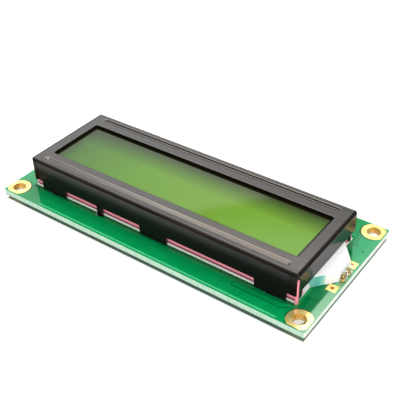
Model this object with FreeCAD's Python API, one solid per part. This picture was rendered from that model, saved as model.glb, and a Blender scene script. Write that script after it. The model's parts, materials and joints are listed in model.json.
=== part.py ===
import FreeCAD, Part
import math
import os

# Character display module: a printed board with a stamped steel bezel that clamps a
# liquid crystal cell, two elastomer strips and a side-lit backlight onto it.
#
# Frame, in millimetres: the origin is under the centre of the board, on the surface that
# the module rests on. X runs along the board, with the backlight lamp at +X. Y runs across
# it, with the row of header holes at +Y. Z points up, out of the display.

V = FreeCAD.Vector

# Printed board
board_length = 80.0
board_width = 36.0
board_thickness = 1.6
board_corner_radius = 0.3
copper_thickness = 0.05
copper_edge_margin = 0.2

# Mounting holes and their plated rings
mount_from_edge = 2.5
mount_pitch_x = board_length - 2 * mount_from_edge
mount_pitch_y = board_width - 2 * mount_from_edge
mount_hole_radius = 1.5
mount_ring_radius = 2.65

# Header row
header_count = 16
header_pitch = 2.54
header_hole_radius = 0.5
header_pad_radius = 0.9
header_first_from_left = 8.0
header_from_far_edge = 1.8

# Bezel sheet
sheet = 0.4
bezel_end_margin = 4.7
bezel_length = board_length - 2 * bezel_end_margin
bezel_width = 24.2
bezel_height = 7.45
bezel_offset_y = -0.7
bend_radius = 0.55
window_end_margin = 2.9
window_side_margin = 4.75
window_length = bezel_length - 2 * window_end_margin
window_width = bezel_width - 2 * window_side_margin
window_corner_radius = 0.5
window_rim_radius = 0.12

# Two stiffening grooves, pressed into the bezel's face beside the window: a gentle wall on
# the window's side, a flat floor and a steep outer wall
groove_depth = 0.3
groove_end_inset = 0.1
groove_half_length = window_length / 2 - groove_end_inset
groove_from_window = 1.85
groove_gentle_run = 0.65
groove_floor_width = 0.45
groove_steep_run = 0.25
groove_end_run = 0.45
groove_rim_radius = 0.5
groove_root_radius = 0.15

# Open corner seams between the folded skirts
seam_skirt_inset = 0.55
seam_side_inset = 0.67
seam_skirt_half_length = bezel_length / 2 - seam_skirt_inset
seam_side_half_width = bezel_width / 2 - seam_side_inset

# Feet, notches and one narrow leg along each long skirt, about the pattern's own centre
pattern_shift = 0.3
notch_height = 2.15
notch_radius = 0.3
centre_foot_width = 7.2
outer_foot_width = 7.2
end_notch_length = 2.2
leg_from_outer_foot = 10.3
outer_foot_end = seam_skirt_half_length - end_notch_length
outer_foot_start = outer_foot_end - outer_foot_width
leg_from_centre = outer_foot_start - leg_from_outer_foot

# Short skirts: they stop above the board and arch over the backlight's neck
side_skirt_gap = 1.15
side_arch_height = 2.8
side_near_stub_width = 1.2
side_far_stub_width = 0.55
side_far_stub_inset = 1.78
side_gap_overlap = 0.5

# Tabs that pass through the board and are twisted under it
tab_width = 1.5
tab_drop = 1.0
tab_twist_deg = 50.0
tab_twist_length = 0.6
tab_twist_steps = 4
tab_start_gap = 0.05
slot_end_clearance = 0.3
foot_slot_clearance = 0.15
leg_slot_clearance = 0.45

# Liquid crystal cell, from the top down: the grooves' undersides hold it down
front_polarizer_thickness = 0.2
glass_thickness = 1.1
cell_gap = 0.05
rear_polarizer_thickness = 0.22
glass_side_clearance = 0.2
glass_end_clearance = 0.5
polarizer_edge = 0.3
seal_width = 1.0
rear_glass_to_strip = 0.25

# Elastomer strips
strip_thickness = 2.5
strip_end_from_bezel = 0.2
strip_slot_clearance = 0.05
contact_pitch = 1.5
contact_width = 0.9
contact_length = 1.9

# Backlight
frame_clearance = 0.05
frame_base = 0.3
frame_rim = 0.32
frame_wall = 0.9
frame_wall_from_bezel = 0.9
frame_end_height = 1.0
frame_wall_below_cell = 0.03
reflector_thickness = 0.15
diffuser_thickness = 0.2
film_edge = 0.2
guide_clearance = 0.1
neck_base_near_inset = 1.43
neck_base_far_inset = 0.23
neck_end_width = 4.1
neck_end_from_board_edge = 1.25
neck_bottom = 0.3
neck_top = 2.6
neck_overlap = 0.5
neck_film_thickness = 0.12
cheek_thickness = 0.12
cheek_length = 1.9
cheek_top_drop = 0.15

# Lamp at the end of the neck
lamp_offset_y = -0.3
lamp_height = 2.3
lobe_radius = 1.0
lobe_spacing = 2.05
lamp_back_depth = 0.12
lamp_top_radius = 0.3
lead_width = 0.7
lead_thickness = 0.2
lead_height = 1.75
lead_from_lamp_back = 0.35
lead_foot_on_pad = 0.48
lead_foot_thickness = 0.16
die_size = 0.32
die_height = 1.19

# Lamp pads on the board
lamp_pad_size = 2.1
lamp_pad_offset_y = -0.45
lamp_pad_half_pitch = 4.1
lamp_pad_from_edge = 1.5
lamp_hole_radius = 0.4
lamp_back_pad_radius = 0.85

# Underside: two resin blobs over the bonded chips, and small chip parts
controller_radius = 7.2
controller_x = -12.0
driver_radius = 6.0
driver_x = 16.5
blob_y = -1.5
blob_height = 0.95
blob_edge_height = 0.12
chip_length = 2.0
chip_width = 1.25
chip_height = 0.5
chip_cap_length = 0.4
chip_cap_skin = 0.03
solder_rise_share = 0.7
capacitor_height = 0.8
resistor_count = 8
resistor_pitch = 2.4
resistor_first_x = -1.0
resistor_y = 8.0
capacitor_from_bezel_end = 10.3
capacitor_far_y = 9.5
capacitor_near_y = -8.5

# How far each cutting solid runs past the faces that it cuts
overrun = 1.0

# Levels, worked out from the sizes above
board_bottom = tab_drop
board_top = board_bottom + board_thickness
bezel_top = board_top + bezel_height
sheet_underside = bezel_top - sheet
polarizer_top = sheet_underside - groove_depth
front_glass_top = polarizer_top - front_polarizer_thickness
front_glass_bottom = front_glass_top - glass_thickness
rear_glass_top = front_glass_bottom - cell_gap
rear_glass_bottom = rear_glass_top - glass_thickness
rear_polarizer_bottom = rear_glass_bottom - rear_polarizer_thickness
diffuser_bottom = rear_polarizer_bottom - diffuser_thickness
reflector_bottom = board_top + frame_base
guide_bottom = reflector_bottom + reflector_thickness

# Plan sizes, worked out from the sizes above
bezel_half_length = bezel_length / 2
bezel_half_width = bezel_width / 2
inside_half_length = bezel_half_length - sheet
inside_half_width = bezel_half_width - sheet
skirt_mid = bezel_half_width - sheet / 2
frame_half_length = inside_half_length - frame_clearance
frame_half_width = inside_half_width - frame_clearance
strip_outer = frame_half_width - frame_rim
strip_inner = strip_outer - strip_thickness
strip_half_length = inside_half_length - strip_end_from_bezel
wall_half_length = inside_half_length - frame_wall_from_bezel
rear_glass_half_width = strip_inner - rear_glass_to_strip
front_glass_half_width = inside_half_width - glass_side_clearance
glass_half_length = inside_half_length - glass_end_clearance
wall_outer = strip_inner - strip_slot_clearance * 2
guide_half_width = wall_outer - frame_wall - guide_clearance
guide_half_length = wall_half_length - frame_wall - guide_clearance
neck_base_width = 2 * guide_half_width - neck_base_near_inset - neck_base_far_inset
neck_y = bezel_offset_y + (neck_base_near_inset - neck_base_far_inset) / 2
neck_end_x = board_length / 2 - neck_end_from_board_edge
lamp_x = neck_end_x
lamp_y = neck_y + lamp_offset_y
header_y = board_width / 2 - header_from_far_edge
header_x0 = -board_length / 2 + header_first_from_left


def block(x0, x1, y0, y1, z0, z1):
    """Box between two corners."""
    return Part.makeBox(x1 - x0, y1 - y0, z1 - z0, V(x0, y0, z0))


def centred(half_x, half_y, z0, z1, y=bezel_offset_y):
    """Box centred on X = 0 and on the given Y."""
    return block(-half_x, half_x, y - half_y, y + half_y, z0, z1)


def disc(x, y, radius, z0, z1):
    return Part.makeCylinder(radius, z1 - z0, V(x, y, z0))


def edges_along(shape, axis, at=None):
    """Straight edges parallel to an axis ('x', 'y' or 'z'), optionally those at one height."""
    found = []
    for edge in shape.Edges:
        if edge.Curve.TypeId != "Part::GeomLine":
            continue
        a, b = edge.Vertexes[0].Point, edge.Vertexes[-1].Point
        step = b - a
        length = step.Length
        if abs(abs(getattr(step, axis)) - length) > 1e-6:
            continue
        if at is None or abs(a.z - at) < 1e-6:
            found.append(edge)
    return found


def stadium(half_length, half_width, y, z):
    """Closed wire: a slot outline with round ends, at height z."""
    straight = half_length - half_width
    a = V(-straight, y - half_width, z)
    b = V(straight, y - half_width, z)
    c = V(straight, y + half_width, z)
    d = V(-straight, y + half_width, z)
    right = Part.Arc(b, V(half_length, y, z), c).toShape()
    left = Part.Arc(d, V(-half_length, y, z), a).toShape()
    return Part.Wire([Part.makeLine(a, b), right, Part.makeLine(c, d), left])


def polygon_prism(points, z0, z1):
    """Upright prism over a plan outline."""
    corners = [V(x, y, z0) for x, y in points]
    face = Part.Face(Part.makePolygon(corners + corners[:1]))
    return face.extrude(V(0, 0, z1 - z0))


def mount_centres():
    """Name and centre of each mounting hole."""
    x, y = mount_pitch_x / 2, mount_pitch_y / 2
    return {
        "near_left": (-x, -y),
        "near_right": (x, -y),
        "far_left": (-x, y),
        "far_right": (x, y),
    }


def header_centres():
    return [(header_x0 + i * header_pitch, header_y) for i in range(header_count)]


def lamp_pad_centres():
    x = board_length / 2 - lamp_pad_from_edge
    middle = neck_y + lamp_pad_offset_y
    return {"anode": (x, middle + lamp_pad_half_pitch), "cathode": (x, middle - lamp_pad_half_pitch)}


def tabs():
    """Each tab's X, which side it is on (-1 near, +1 far) and whether it is the free leg."""
    outer = (outer_foot_start + outer_foot_end) / 2
    found = []
    for side in (-1, 1):
        for along, free_leg in ((-outer, False), (-leg_from_centre, True), (outer, False)):
            found.append((-side * (along + pattern_shift), side, free_leg))
    return found


def tab_slot(x, side, free_leg):
    """Slot in the board round one tab, with more room at the leg that stands free."""
    room = leg_slot_clearance if free_leg else foot_slot_clearance
    half_x = tab_width / 2 + slot_end_clearance
    half_y = sheet / 2 + room
    y = bezel_offset_y + side * skirt_mid
    return block(x - half_x, x + half_x, y - half_y, y + half_y,
                 board_bottom - overrun, board_top + overrun)


def circuit_board():
    half_x, half_y = board_length / 2, board_width / 2
    board = block(-half_x, half_x, -half_y, half_y, board_bottom, board_top)
    board = board.makeFillet(board_corner_radius, edges_along(board, "z"))
    low, high = board_bottom - overrun, board_top + overrun
    holes = [disc(x, y, mount_hole_radius + copper_thickness, low, high)
             for x, y in mount_centres().values()]
    holes += [disc(x, y, header_hole_radius, low, high) for x, y in header_centres()]
    holes += [disc(x, y, lamp_hole_radius + copper_thickness, low, high)
              for x, y in lamp_pad_centres().values()]
    holes += [tab_slot(*tab) for tab in tabs()]
    return board.cut(holes)


def plated_hole(x, y, hole_radius, upper_pad, lower_pad):
    """Barrel through the board with a pad on each face, drilled through as one piece."""
    barrel = disc(x, y, hole_radius + copper_thickness, board_bottom, board_top)
    body = barrel.fuse([upper_pad, lower_pad])
    return body.cut(disc(x, y, hole_radius, board_bottom - overrun, board_top + overrun)).removeSplitter()


def round_pads(x, y, radius):
    upper = disc(x, y, radius, board_top, board_top + copper_thickness)
    lower = disc(x, y, radius, board_bottom - copper_thickness, board_bottom)
    return upper, lower


def mount_plating(x, y):
    """Ring pads that stop short of the board's edges, and the plated wall between them."""
    half_x = board_length / 2 - copper_edge_margin
    half_y = board_width / 2 - copper_edge_margin
    keep = block(-half_x, half_x, -half_y, half_y, board_bottom - overrun, board_top + overrun)
    upper, lower = (pad.common(keep) for pad in round_pads(x, y, mount_ring_radius))
    return plated_hole(x, y, mount_hole_radius, upper, lower)


def header_plating():
    """Ring pads round each header hole, on both faces of the board."""
    rings = []
    for x, y in header_centres():
        hole = disc(x, y, header_hole_radius, board_bottom - overrun, board_top + overrun)
        rings += [pad.cut(hole) for pad in round_pads(x, y, header_pad_radius)]
    return Part.makeCompound(rings)


def lamp_pad(x, y):
    """Square pad on top, round pad below, with a plated hole."""
    half = lamp_pad_size / 2
    upper = block(x - half, x + half, y - half, y + half, board_top, board_top + copper_thickness)
    lower = round_pads(x, y, lamp_back_pad_radius)[1]
    return plated_hole(x, y, lamp_hole_radius, upper, lower)


def strip_contacts(side):
    """Row of contact pads that one elastomer strip stands on."""
    y = bezel_offset_y + side * (strip_outer + strip_inner) / 2
    count = int((2 * strip_half_length - contact_width) / contact_pitch)
    first = -(count - 1) * contact_pitch / 2
    pads = []
    for i in range(count):
        x = first + i * contact_pitch
        pads.append(block(x - contact_width / 2, x + contact_width / 2,
                          y - contact_length / 2, y + contact_length / 2,
                          board_top, board_top + copper_thickness))
    return Part.makeCompound(pads)


def folded_shell():
    """Open-bottomed box of sheet, with its bends rounded inside and out."""
    outer = centred(bezel_half_length, bezel_half_width, board_top, bezel_top)
    outer = outer.makeFillet(bend_radius, edges_along(outer, "z") + edges_along(outer, "x", bezel_top)
                             + edges_along(outer, "y", bezel_top))
    inner = centred(inside_half_length, inside_half_width, board_top - overrun, sheet_underside)
    inner = inner.makeFillet(bend_radius - sheet,
                             edges_along(inner, "z") + edges_along(inner, "x", sheet_underside)
                             + edges_along(inner, "y", sheet_underside))
    return outer.cut(inner)


def window_tool():
    tool = centred(window_length / 2, window_width / 2, sheet_underside - sheet / 2, bezel_top + overrun)
    return tool.makeFillet(window_corner_radius, edges_along(tool, "z"))


def groove_edges():
    """Distances from the bezel's centre line: inner rim, floor's two edges, outer rim."""
    inner = window_width / 2 + groove_from_window
    floor_inner = inner + groove_gentle_run
    floor_outer = floor_inner + groove_floor_width
    return inner, floor_inner, floor_outer, floor_outer + groove_steep_run


def grown_by(run):
    """Offset, measured level, that keeps the sheet's thickness at a wall with this run."""
    slope = run / groove_depth
    return sheet * (math.hypot(1, slope) - slope)


def groove_solid(side, top_z, floor_z, grow_inner, grow_outer, grow_end):
    """Long channel with round ends, tapering down to its floor."""
    inner, floor_inner, floor_outer, outer = groove_edges()
    outlines = []
    for low, high, half, z in ((inner, outer, groove_half_length, top_z),
                               (floor_inner, floor_outer, groove_half_length - groove_end_run, floor_z)):
        low, high = low - grow_inner, high + grow_outer
        y = bezel_offset_y + side * (low + high) / 2
        outlines.append(stadium(half + grow_end, (high - low) / 2, y, z))
    channel = Part.makeLoft(outlines, True, True)
    root = [e for e in channel.Edges if all(abs(v.Z - floor_z) < 1e-6 for v in e.Vertexes)]
    return channel.makeFillet(groove_root_radius, root)


def press_grooves(shell):
    """Push both grooves into the face: the sheet keeps its thickness under them."""
    inner, outer = groove_edges()[0], groove_edges()[-1]
    grow_inner, grow_outer = grown_by(groove_gentle_run), grown_by(groove_steep_run)
    grow_end = grown_by(groove_end_run)
    floor_z = bezel_top - groove_depth
    for side in (-1, 1):
        rib = groove_solid(side, sheet_underside, floor_z - sheet, grow_inner, grow_outer, grow_end)
        low, high = inner - grow_inner, outer + grow_outer
        y = bezel_offset_y + side * (low + high) / 2
        collar = Part.Face(stadium(groove_half_length + grow_end, (high - low) / 2, y, sheet_underside))
        rib = rib.fuse(collar.extrude(V(0, 0, sheet / 2)))
        shell = shell.fuse(rib).cut(groove_solid(side, bezel_top, floor_z, 0.0, 0.0, 0.0))
    rims = []
    for edge in shell.Edges:
        middle = edge.valueAt((edge.FirstParameter + edge.LastParameter) / 2)
        across = abs(middle.y - bezel_offset_y)
        on_face = all(abs(v.Z - bezel_top) < 1e-6 for v in edge.Vertexes)
        beside = inner - groove_rim_radius < across < outer + groove_rim_radius
        if on_face and beside and abs(middle.x) < window_length / 2:
            rims.append(edge)
    return shell.makeFillet(groove_rim_radius, rims)


def round_window_rim(shell):
    rim = []
    for edge in shell.Edges:
        middle = edge.valueAt((edge.FirstParameter + edge.LastParameter) / 2)
        inside = (abs(middle.x) < (window_length + sheet) / 2
                  and abs(middle.y - bezel_offset_y) < (window_width + sheet) / 2)
        if inside and all(abs(v.Z - bezel_top) < 1e-6 for v in edge.Vertexes):
            rim.append(edge)
    return shell.makeFillet(window_rim_radius, rim)


def notch(x0, x1, side):
    """Notch in a long skirt's lower edge, with rounded upper corners."""
    y_mid = bezel_offset_y + side * skirt_mid
    tool = block(x0, x1, y_mid - sheet, y_mid + sheet, board_top - overrun,
                 board_top + notch_height)
    return tool.makeFillet(notch_radius, edges_along(tool, "y", board_top + notch_height))


def corner_cut(x_seam, end, side):
    """Slanting cut across a corner of the top face, from one skirt's end to the other's."""
    x_face, y_face = end * bezel_half_length, bezel_offset_y + side * bezel_half_width
    y_seam = bezel_offset_y + side * seam_side_half_width
    x_out, y_out = x_face + end * overrun, y_face + side * overrun
    outline = [(x_seam, y_face), (x_face, y_seam), (x_out, y_seam), (x_out, y_out), (x_seam, y_out)]
    return polygon_prism(outline, board_top - overrun, bezel_top + overrun)


def skirt_cuts():
    """All that is punched out of the skirts: seams, notches, and arches over the neck."""
    cuts = []
    seam_top = bezel_top - bend_radius
    foot_edge = centre_foot_width / 2
    leg0 = leg_from_centre - tab_width / 2
    leg1 = leg_from_centre + tab_width / 2
    beyond = bezel_half_length + overrun
    spans = [(-beyond, -outer_foot_end), (-outer_foot_start, -leg1), (-leg0, -foot_edge),
             (foot_edge, outer_foot_start), (outer_foot_end, beyond)]
    for side in (-1, 1):
        for a, b in spans:
            ends = sorted((-side * (a + pattern_shift), -side * (b + pattern_shift)))
            cuts.append(notch(ends[0], ends[1], side))
        for end in (-1, 1):
            x_seam = end * seam_skirt_half_length - side * pattern_shift
            x0, x1 = sorted((x_seam, end * beyond))
            y0, y1 = sorted((bezel_offset_y + side * seam_side_half_width,
                             bezel_offset_y + side * (bezel_half_width + overrun)))
            cuts.append(block(x0, x1, y0, y1, board_top - overrun, seam_top))
            cuts.append(corner_cut(x_seam, end, side))
    near_stub = seam_side_half_width - side_near_stub_width
    far_stub = seam_side_half_width - side_far_stub_inset
    arches = [(-near_stub, far_stub - side_far_stub_width), (far_stub, seam_side_half_width + overrun)]
    for end in (-1, 1):
        x0, x1 = sorted((end * (bezel_half_length - 2 * sheet), end * beyond))
        gap_half = seam_side_half_width + side_gap_overlap
        cuts.append(block(x0, x1, bezel_offset_y - gap_half, bezel_offset_y + gap_half,
                          board_top - overrun, board_top + side_skirt_gap))
        for a, b in arches:
            cuts.append(block(x0, x1, bezel_offset_y + a, bezel_offset_y + b,
                              board_top - overrun, board_top + side_arch_height))
    return cuts


def twisted_tab(x, side, free_leg):
    """Tab from the skirt down through its slot, twisted under the board."""
    y = bezel_offset_y + side * skirt_mid
    top = board_top + notch_height
    start = board_bottom - tab_start_gap
    stem = block(x - tab_width / 2, x + tab_width / 2, y - sheet / 2, y + sheet / 2, start, top)
    sections = []
    for i in range(tab_twist_steps + 1):
        share = i / tab_twist_steps
        sections.append(tab_section(x, y, start - tab_twist_length * share, side * tab_twist_deg * share))
    sections.append(tab_section(x, y, board_bottom - tab_drop, side * tab_twist_deg))
    return stem.fuse(Part.makeLoft(sections, True, True))


def tab_section(x, y, z, angle):
    half_x, half_y = tab_width / 2, sheet / 2
    turn = math.radians(angle)
    corners = []
    for u, v in ((-half_x, -half_y), (half_x, -half_y), (half_x, half_y), (-half_x, half_y)):
        corners.append(V(x + u * math.cos(turn) - v * math.sin(turn),
                         y + u * math.sin(turn) + v * math.cos(turn), z))
    return Part.makePolygon(corners + corners[:1])


def bezel():
    shell = press_grooves(folded_shell())
    shell = round_window_rim(shell.cut(window_tool()))
    shell = shell.cut(skirt_cuts())
    return shell.fuse([twisted_tab(*tab) for tab in tabs()]).removeSplitter()


def front_polarizer():
    return centred(glass_half_length - polarizer_edge, front_glass_half_width - polarizer_edge,
                   front_glass_top, polarizer_top)


def front_glass():
    """Wider of the two glasses: its long edges overhang as contact ledges."""
    return centred(glass_half_length, front_glass_half_width, front_glass_bottom, front_glass_top)


def cell_seal():
    half_x = glass_half_length
    half_y = rear_glass_half_width
    ring = centred(half_x, half_y, rear_glass_top, front_glass_bottom)
    return ring.cut(centred(half_x - seal_width, half_y - seal_width,
                            rear_glass_top - overrun, front_glass_bottom + overrun))


def rear_glass():
    return centred(glass_half_length, rear_glass_half_width, rear_glass_bottom, rear_glass_top)


def rear_polarizer():
    return centred(glass_half_length - polarizer_edge, rear_glass_half_width - polarizer_edge,
                   rear_polarizer_bottom, rear_glass_bottom)


def diffuser_film():
    return centred(guide_half_length - film_edge, guide_half_width - film_edge,
                   diffuser_bottom, rear_polarizer_bottom)


def reflector_film():
    return centred(guide_half_length - film_edge, guide_half_width - film_edge,
                   reflector_bottom, guide_bottom)


def elastomer_strip(side):
    """Strip between the board's contacts and the front glass's ledge."""
    y0, y1 = sorted((bezel_offset_y + side * strip_inner, bezel_offset_y + side * strip_outer))
    return block(-strip_half_length, strip_half_length, y0, y1,
                 board_top + copper_thickness, front_glass_bottom)


def neck_half_width(x):
    """Half width of the guide's tapering neck, from the frame's end face to the lamp."""
    share = (x - frame_half_length) / (neck_end_x - frame_half_length)
    return (neck_base_width + share * (neck_end_width - neck_base_width)) / 2


def neck_outline(x0, x1, grow):
    """Plan of a length of the neck, widened by grow on each side."""
    w0 = neck_half_width(x0) + grow
    w1 = neck_half_width(x1) + grow
    return [(x0, neck_y - w0), (x1, neck_y - w1), (x1, neck_y + w1), (x0, neck_y + w0)]


def neck_solid(z0, z1, x0, grow=0.0):
    """Neck from x0 out to the lamp: straight inside the frame, tapering outside it."""
    taper = polygon_prism(neck_outline(frame_half_length, neck_end_x, grow), z0, z1)
    half = neck_base_width / 2 + grow
    straight = block(x0, frame_half_length, neck_y - half, neck_y + half, z0, z1)
    return taper.fuse(straight).removeSplitter()


def light_guide():
    slab = centred(guide_half_length, guide_half_width, guide_bottom, diffuser_bottom)
    neck = neck_solid(board_top + neck_bottom, board_top + neck_top, guide_half_length - neck_overlap)
    floor_cut = centred(guide_half_length, guide_half_width, board_top, guide_bottom)
    foot_outline = neck_outline(frame_half_length + frame_clearance,
                                neck_end_x - cheek_length - guide_clearance, 0.0)
    foot = polygon_prism(foot_outline, board_top + copper_thickness, board_top + neck_bottom)
    return slab.fuse([neck.cut(floor_cut), foot]).removeSplitter()


def neck_film():
    """White film on the neck's upper face, outside the bezel's frame."""
    outline = neck_outline(frame_half_length + frame_clearance, neck_end_x, 0.0)
    top = board_top + neck_top
    return polygon_prism(outline, top, top + neck_film_thickness)


def backlight_frame():
    """White frame: base with slots for the strips, and walls round the light guide."""
    base = centred(frame_half_length, frame_half_width, board_top, reflector_bottom)
    for side in (-1, 1):
        y0, y1 = sorted((bezel_offset_y + side * (strip_inner - strip_slot_clearance),
                         bezel_offset_y + side * (strip_outer + strip_slot_clearance)))
        half = strip_half_length + strip_slot_clearance
        base = base.cut(block(-half, half, y0, y1, board_top - overrun, reflector_bottom + overrun))
    top = rear_polarizer_bottom - frame_wall_below_cell
    walls = centred(wall_half_length, wall_outer, board_top, top)
    walls = walls.cut(centred(wall_half_length - frame_wall, wall_outer - frame_wall,
                              reflector_bottom, top + overrun))
    ends = centred(frame_half_length, wall_outer, board_top, board_top + frame_end_height)
    ends = ends.cut(centred(wall_half_length, wall_outer + overrun, board_top - overrun, top))
    gate = neck_solid(board_top + neck_bottom, top + overrun, guide_half_length - overrun,
                      guide_clearance)
    return base.fuse([walls, ends]).cut(gate).removeSplitter()


def lamp_reflector():
    """White U round the neck's end: a floor under it and a cheek on each slanted side."""
    x0 = neck_end_x - cheek_length
    top = board_top + neck_top - cheek_top_drop
    outer = polygon_prism(neck_outline(x0, neck_end_x, cheek_thickness),
                          board_top + copper_thickness, top)
    inner = polygon_prism(neck_outline(x0 - overrun, neck_end_x + overrun, 0.0),
                          board_top + neck_bottom, top + overrun)
    return outer.cut(inner)


def lobe_centres():
    return {"cathode": lamp_y - lobe_spacing / 2, "anode": lamp_y + lobe_spacing / 2}


def lead(name):
    """Post inside one lobe of the lamp, with a foot that runs out onto its pad."""
    y = lobe_centres()[name]
    out = -1 if name == "cathode" else 1
    x0 = lamp_x + lamp_back_depth + lead_from_lamp_back
    z0 = board_top + copper_thickness
    post = block(x0, x0 + lead_thickness, y - lead_width / 2, y + lead_width / 2,
                 z0, board_top + lead_height)
    pad_edge = lamp_pad_centres()[name][1] - out * lamp_pad_size / 2
    y0, y1 = sorted((y, pad_edge + out * lead_foot_on_pad))
    foot = block(x0 - lead_thickness, x0 + lead_thickness * 2, y0, y1, z0, z0 + lead_foot_thickness)
    return post.fuse(foot).removeSplitter()


def lamp_die(name):
    """Light-emitting chip on the post's inner face, towards the neck."""
    y = lobe_centres()[name]
    x1 = lamp_x + lamp_back_depth + lead_from_lamp_back
    z = board_top + die_height
    half = die_size / 2
    return block(x1 - half, x1, y - half, y + half, z - half, z + half)


def lamp_body():
    """Clear resin: two round lobes side by side, cast round the leads and chips."""
    z0, z1 = board_top, board_top + lamp_height
    back = lamp_x + lamp_back_depth
    half = lobe_spacing / 2 + lobe_radius
    body = block(lamp_x, back, lamp_y - half, lamp_y + half, z0, z1)
    lobes = []
    for y in lobe_centres().values():
        front_half = block(back, back + lobe_radius, y - lobe_radius, y + lobe_radius, z0, z1)
        lobes.append(disc(back, y, lobe_radius, z0, z1).common(front_half))
    body = body.fuse(lobes).removeSplitter()
    rim = []
    for edge in body.Edges:
        middle = edge.valueAt((edge.FirstParameter + edge.LastParameter) / 2)
        if abs(middle.z - z1) < 1e-6 and middle.x > back + 1e-6:
            rim.append(edge)
    body = body.makeFillet(lamp_top_radius, rim)
    inside = [lead(name) for name in lobe_centres()] + [lamp_die(name) for name in lobe_centres()]
    return body.cut(inside)


def resin_blob(x, radius):
    """Low dome of potting resin under the board, thin at its edge."""
    edge = V(radius, 0, board_bottom)
    lip = V(radius, 0, board_bottom - blob_edge_height)
    centre = V(0, 0, board_bottom)
    peak = V(0, 0, board_bottom - blob_height)
    rise = blob_height - blob_edge_height
    sphere_radius = (radius ** 2 + rise ** 2) / (2 * rise)
    half_angle = math.asin(radius / sphere_radius) / 2
    way = V(sphere_radius * math.sin(half_angle), 0,
            board_bottom - blob_height + sphere_radius * (1 - math.cos(half_angle)))
    dome = Part.Arc(lip, way, peak).toShape()
    wire = Part.Wire([Part.makeLine(centre, edge), Part.makeLine(edge, lip), dome,
                      Part.makeLine(peak, centre)])
    solid = Part.Face(wire).revolve(V(0, 0, 0), V(0, 0, 1), 360)
    solid.translate(V(x, blob_y, 0))
    return solid


def resistor_centres():
    return [(resistor_first_x + i * resistor_pitch, resistor_y) for i in range(resistor_count)]


def capacitor_centres():
    x = capacitor_from_bezel_end - bezel_half_length
    return [(x, capacitor_far_y), (x, capacitor_near_y)]


def chip_body(x, y, height):
    """Ceramic block of a chip part, held off the board by its end caps' skin."""
    half_x, half_y = chip_width / 2, chip_length / 2 - chip_cap_skin
    top = board_bottom - copper_thickness - chip_cap_skin
    return block(x - half_x, x + half_x, y - half_y, y + half_y, top - height, top)


def chip_caps(x, y, height):
    """Two plated end caps of a chip part, and the board pads they are soldered to."""
    solids = []
    body = chip_body(x, y, height)
    pad_top = board_bottom
    pad_bottom = board_bottom - copper_thickness
    for end in (-1, 1):
        tip = y + end * chip_length / 2
        root = tip - end * chip_cap_length
        y0, y1 = sorted((root, tip))
        half = chip_width / 2 + chip_cap_skin
        cap = block(x - half, x + half, y0, y1, pad_bottom - height - 2 * chip_cap_skin, pad_bottom)
        p0, p1 = sorted((root, tip + end * chip_cap_length))
        pad = block(x - half, x + half, p0, p1, pad_bottom, pad_top)
        fillet = polygon_wedge(x, tip, end, height)
        solids.append(cap.fuse([pad, fillet]).cut(body).removeSplitter())
    return solids


def polygon_wedge(x, tip, end, height):
    """Solder wedge between an end cap and its pad."""
    half = chip_width / 2
    z = board_bottom - copper_thickness
    corners = [V(x - half, tip, z), V(x - half, tip + end * chip_cap_length, z),
               V(x - half, tip, z - height * solder_rise_share)]
    return Part.Face(Part.makePolygon(corners + corners[:1])).extrude(V(2 * half, 0, 0))


def chip_solder():
    solids = []
    for x, y in resistor_centres():
        solids += chip_caps(x, y, chip_height)
    for x, y in capacitor_centres():
        solids += chip_caps(x, y, capacitor_height)
    return Part.makeCompound(solids)


def build():
    """Every piece of the module, by node name."""
    nodes = {
        "circuit_board": circuit_board(),
        "header_plating": header_plating(),
        "strip_contacts_near": strip_contacts(-1),
        "strip_contacts_far": strip_contacts(1),
        "bezel": bezel(),
        "front_polarizer": front_polarizer(),
        "front_glass": front_glass(),
        "cell_seal": cell_seal(),
        "rear_glass": rear_glass(),
        "rear_polarizer": rear_polarizer(),
        "diffuser_film": diffuser_film(),
        "light_guide": light_guide(),
        "reflector_film": reflector_film(),
        "neck_film": neck_film(),
        "backlight_frame": backlight_frame(),
        "lamp_reflector": lamp_reflector(),
        "lamp_body": lamp_body(),
        "elastomer_strip_near": elastomer_strip(-1),
        "elastomer_strip_far": elastomer_strip(1),
        "controller_blob": resin_blob(controller_x, controller_radius),
        "driver_blob": resin_blob(driver_x, driver_radius),
        "chip_solder": chip_solder(),
    }
    for name, (x, y) in mount_centres().items():
        nodes["mount_plating_" + name] = mount_plating(x, y)
    for name, (x, y) in lamp_pad_centres().items():
        nodes["lamp_pad_" + name] = lamp_pad(x, y)
        nodes["lamp_lead_" + name] = lead(name)
        nodes["lamp_die_" + name] = lamp_die(name)
    for i, (x, y) in enumerate(resistor_centres()):
        nodes["chip_resistor_%d" % (i + 1)] = chip_body(x, y, chip_height)
    for i, (x, y) in enumerate(capacitor_centres()):
        nodes["chip_capacitor_%d" % (i + 1)] = chip_body(x, y, capacitor_height)
    return nodes


os.makedirs("parts", exist_ok=True)
for node, shape in build().items():
    shape.exportStep("parts/" + node + ".step")
    print(node, "solids", len(shape.Solids), "valid", shape.isValid(), "volume", round(shape.Volume, 3))
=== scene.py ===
import json
import math

import bpy
from mathutils import Matrix, Vector


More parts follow.
